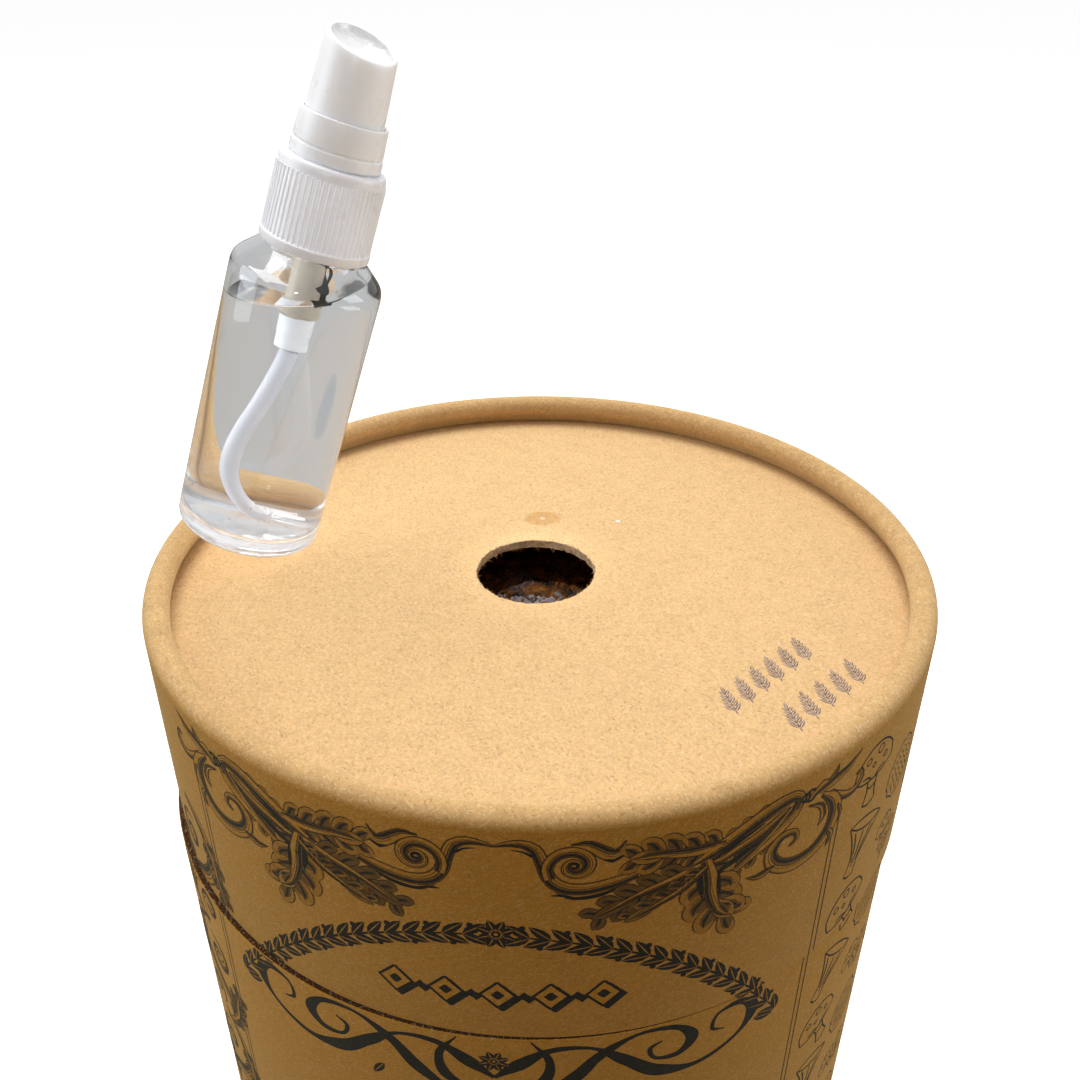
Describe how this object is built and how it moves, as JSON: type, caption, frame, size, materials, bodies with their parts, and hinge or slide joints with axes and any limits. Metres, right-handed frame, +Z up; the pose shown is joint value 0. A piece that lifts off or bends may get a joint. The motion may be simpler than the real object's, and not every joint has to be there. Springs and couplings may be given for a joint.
{
  "type": "mushroom grow kit",
  "caption": "Round kraft tube with a lift-off lid, a cut-out over a block of mushroom substrate, and a small pump spray bottle of water leaning on the lid's rim.",
  "frame": {"origin": "middle of the tube's foot, on the surface that it stands on", "axes": "+Z up along the tube, -Y towards the printed front"},
  "size_m": [0.1618, 0.1612, 0.3276],
  "materials": {
    "kraft_paper": "matt brown kraft paperboard with printed ornament",
    "board": "plain paperboard",
    "substrate": "damp sawdust with pale mycelium",
    "clear_plastic": "clear glossy PET",
    "water": "clear water",
    "white_plastic": "satin white polypropylene",
    "natural_plastic": "translucent natural polyethylene"
  },
  "bodies": {
    "kit": {"base_tube": "kraft_paper", "bottom_disc": "board", "inner_liner": "board", "lid_skirt": "kraft_paper", "lid_panel": "kraft_paper", "substrate_block": "substrate", "bottle": "clear_plastic", "water": "water", "screw_collar": "white_plastic", "guide_sleeve": "white_plastic", "pump_body": "white_plastic", "dip_tube": "natural_plastic"},
    "plunger": {"pump_stem": "white_plastic"},
    "spray_head": {"spray_button": "white_plastic", "nozzle_insert": "white_plastic"}
  },
  "joints": [
    {"name": "press", "type": "slide", "parent": "kit", "child": "plunger", "axis": [-0.3216, -0.0504, -0.9455], "range_m": [0, 0.0045], "stiffness_N_per_m": 2000, "springref_m": -0.003},
    {"name": "swivel", "type": "hinge", "parent": "plunger", "child": "spray_head", "pos_m": [-0.03341, 0.01666, 0.31725], "axis": [0.3216, 0.0504, 0.9455], "continuous": true}
  ]
}
